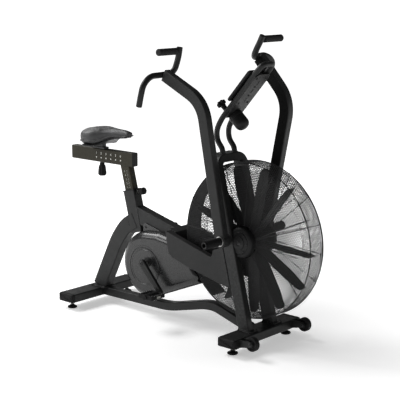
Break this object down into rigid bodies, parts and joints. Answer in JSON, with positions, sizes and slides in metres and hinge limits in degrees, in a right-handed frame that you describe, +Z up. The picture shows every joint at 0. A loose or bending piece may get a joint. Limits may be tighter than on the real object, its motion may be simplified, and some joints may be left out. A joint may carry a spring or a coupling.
{
  "type": "air bike",
  "caption": "Upright fan bike with a caged paddle fan, swinging handle arms, pedal cranks, foot pegs, height and fore-aft adjustable saddle, console, stabiliser feet and transport wheels.",
  "frame": {"origin": "centre of the bounding box in X and Y, on the floor under the feet", "axes": "+X forward from the saddle to the fan, +Y to the rider's left, +Z up"},
  "size_m": [1.515, 0.6078, 1.3726],
  "materials": {
    "frame_paint": "satin near-black powder coat with a fine grain",
    "cage_paint": "matt black coated perforated sheet",
    "seat_paint": "satin olive-black coat",
    "shroud_plastic": "charcoal moulded plastic, fine texture",
    "black_rubber": "matt black rubber",
    "bare_steel": "zinc plated",
    "saddle_cover": "dark grey satin synthetic leather"
  },
  "bodies": {
    "frame": {"front_stabilizer": "frame_paint", "rear_stabilizer": "frame_paint", "front_end_cap_right": "shroud_plastic", "front_end_cap_left": "shroud_plastic", "rear_end_cap_right": "shroud_plastic", "rear_end_cap_left": "shroud_plastic", "seat_tube": "frame_paint", "rear_post": "frame_paint", "top_tube": "frame_paint", "front_hoop": "frame_paint", "fork_plate_right": "frame_paint", "fork_plate_left": "frame_paint", "link_tube": "frame_paint", "cage_guard_left": "cage_paint", "cage_guard_right": "cage_paint", "wind_guard": "shroud_plastic", "cage_band": "cage_paint", "fan_axle": "bare_steel", "hub_bracket_right": "shroud_plastic", "hub_bracket_left": "shroud_plastic", "drive_belt": "black_rubber", "bottom_bracket": "frame_paint", "shroud_right": "shroud_plastic", "shroud_left": "shroud_plastic", "foot_peg_right": "bare_steel", "foot_peg_left": "bare_steel", "foot_peg_sleeve_right": "black_rubber", "foot_peg_sleeve_left": "black_rubber", "console_hoop": "frame_paint", "console_bracket": "frame_paint", "console_pod": "shroud_plastic"},
    "crank": {"crank_axle": "bare_steel", "crank_pulley": "bare_steel", "crank_arm_right": "frame_paint", "crank_arm_left": "frame_paint"},
    "pedal_right": {"pedal_right": "black_rubber"},
    "pedal_left": {"pedal_left": "black_rubber"},
    "fan": {"fan_wheel": "shroud_plastic", "fan_pulley": "bare_steel"},
    "arm_right": {"handle_arm_right": "frame_paint", "handle_grip_right": "black_rubber"},
    "arm_left": {"handle_arm_left": "frame_paint", "handle_grip_left": "black_rubber"},
    "seat": {"seat_post": "seat_paint", "seat_rail": "seat_paint"},
    "saddle": {"saddle_carriage": "bare_steel", "saddle": "saddle_cover"},
    "rail_knob": {"rail_clamp_knob": "black_rubber"},
    "post_pin": {"post_pin_knob": "black_rubber"},
    "console": {"console_housing": "shroud_plastic"},
    "star_knob": {"console_star_knob": "black_rubber"},
    "button_start": {"console_button_start": "black_rubber"},
    "button_mode": {"console_button_mode": "black_rubber"},
    "button_stop": {"console_button_stop": "black_rubber"},
    "wheel_right": {"transport_wheel_right": "black_rubber"},
    "wheel_left": {"transport_wheel_left": "black_rubber"},
    "foot_front_right": {"front_foot_right": "black_rubber"},
    "foot_front_left": {"front_foot_left": "black_rubber"},
    "foot_rear_right": {"rear_foot_right": "black_rubber"},
    "foot_rear_left": {"rear_foot_left": "black_rubber"}
  },
  "joints": [
    {"name": "crank_spin", "type": "hinge", "parent": "frame", "child": "crank", "pos_m": [-0.1725, 0, 0.284], "axis": [0, 1, 0], "continuous": true},
    {"name": "fan_spin", "type": "hinge", "parent": "frame", "child": "fan", "pos_m": [0.4075, 0, 0.473], "axis": [0, 1, 0], "continuous": true},
    {"name": "pedal_right_spin", "type": "hinge", "parent": "crank", "child": "pedal_right", "pos_m": [-0.05441, -0.17, 0.16171], "axis": [0, 1, 0], "continuous": true},
    {"name": "pedal_left_spin", "type": "hinge", "parent": "crank", "child": "pedal_left", "pos_m": [-0.29059, 0.17, 0.40629], "axis": [0, 1, 0], "continuous": true},
    {"name": "arm_right_swing", "type": "hinge", "parent": "frame", "child": "arm_right", "pos_m": [0.3585, -0.152, 0.485], "axis": [0, 1, 0], "range_deg": [-2, 24]},
    {"name": "arm_left_swing", "type": "hinge", "parent": "frame", "child": "arm_left", "pos_m": [0.3585, 0.152, 0.485], "axis": [0, 1, 0], "range_deg": [-24, 2]},
    {"name": "seat_height", "type": "slide", "parent": "frame", "child": "seat", "axis": [-0.2521, 0, 0.9677], "range_m": [-0.085, 0.04]},
    {"name": "saddle_fore_aft", "type": "slide", "parent": "seat", "child": "saddle", "axis": [1, 0, 0], "range_m": [-0.1, 0.11]},
    {"name": "rail_knob_turn", "type": "hinge", "parent": "saddle", "child": "rail_knob", "pos_m": [-0.5575, 0, 0.68], "axis": [0, 0, 1], "range_deg": [-180, 180]},
    {"name": "post_pin_pull", "type": "slide", "parent": "frame", "child": "post_pin", "axis": [0.9677, 0, 0.2521], "range_m": [0, 0.012], "stiffness_N_per_m": 900, "springref_m": -0.006},
    {"name": "console_slide", "type": "slide", "parent": "frame", "child": "console", "axis": [0.667, 0, 0.745], "range_m": [0, 0.02]},
    {"name": "star_knob_turn", "type": "hinge", "parent": "frame", "child": "star_knob", "pos_m": [0.24481, -0.02, 1.06057], "axis": [-0.745, 0, 0.667], "range_deg": [-180, 180]},
    {"name": "button_start_press", "type": "slide", "parent": "console", "child": "button_start", "axis": [0.745, 0, -0.667], "range_m": [0, 0.002], "stiffness_N_per_m": 500, "springref_m": -0.001},
    {"name": "button_mode_press", "type": "slide", "parent": "console", "child": "button_mode", "axis": [0.745, 0, -0.667], "range_m": [0, 0.002], "stiffness_N_per_m": 500, "springref_m": -0.001},
    {"name": "button_stop_press", "type": "slide", "parent": "console", "child": "button_stop", "axis": [0.745, 0, -0.667], "range_m": [0, 0.002], "stiffness_N_per_m": 500, "springref_m": -0.001},
    {"name": "wheel_right_roll", "type": "hinge", "parent": "frame", "child": "wheel_right", "pos_m": [0.5635, -0.187, 0.068], "axis": [0, 1, 0], "continuous": true},
    {"name": "wheel_left_roll", "type": "hinge", "parent": "frame", "child": "wheel_left", "pos_m": [0.5635, 0.187, 0.068], "axis": [0, 1, 0], "continuous": true},
    {"name": "foot_front_right_screw", "type": "hinge", "parent": "frame", "child": "foot_front_right", "pos_m": [0.4545, -0.19, 0.02], "axis": [0, 0, 1], "range_deg": [-360, 360]},
    {"name": "foot_front_left_screw", "type": "hinge", "parent": "frame", "child": "foot_front_left", "pos_m": [0.4545, 0.19, 0.02], "axis": [0, 0, 1], "range_deg": [-360, 360]},
    {"name": "foot_rear_right_screw", "type": "hinge", "parent": "frame", "child": "foot_rear_right", "pos_m": [-0.5885, -0.19, 0.02], "axis": [0, 0, 1], "range_deg": [-360, 360]},
    {"name": "foot_rear_left_screw", "type": "hinge", "parent": "frame", "child": "foot_rear_left", "pos_m": [-0.5885, 0.19, 0.02], "axis": [0, 0, 1], "range_deg": [-360, 360]}
  ],
  "couplings": [
    {"joint": "fan_spin", "follows": "crank_spin", "ratio": 3.1667},
    {"joint": "arm_left_swing", "follows": "arm_right_swing", "ratio": -1}
  ]
}
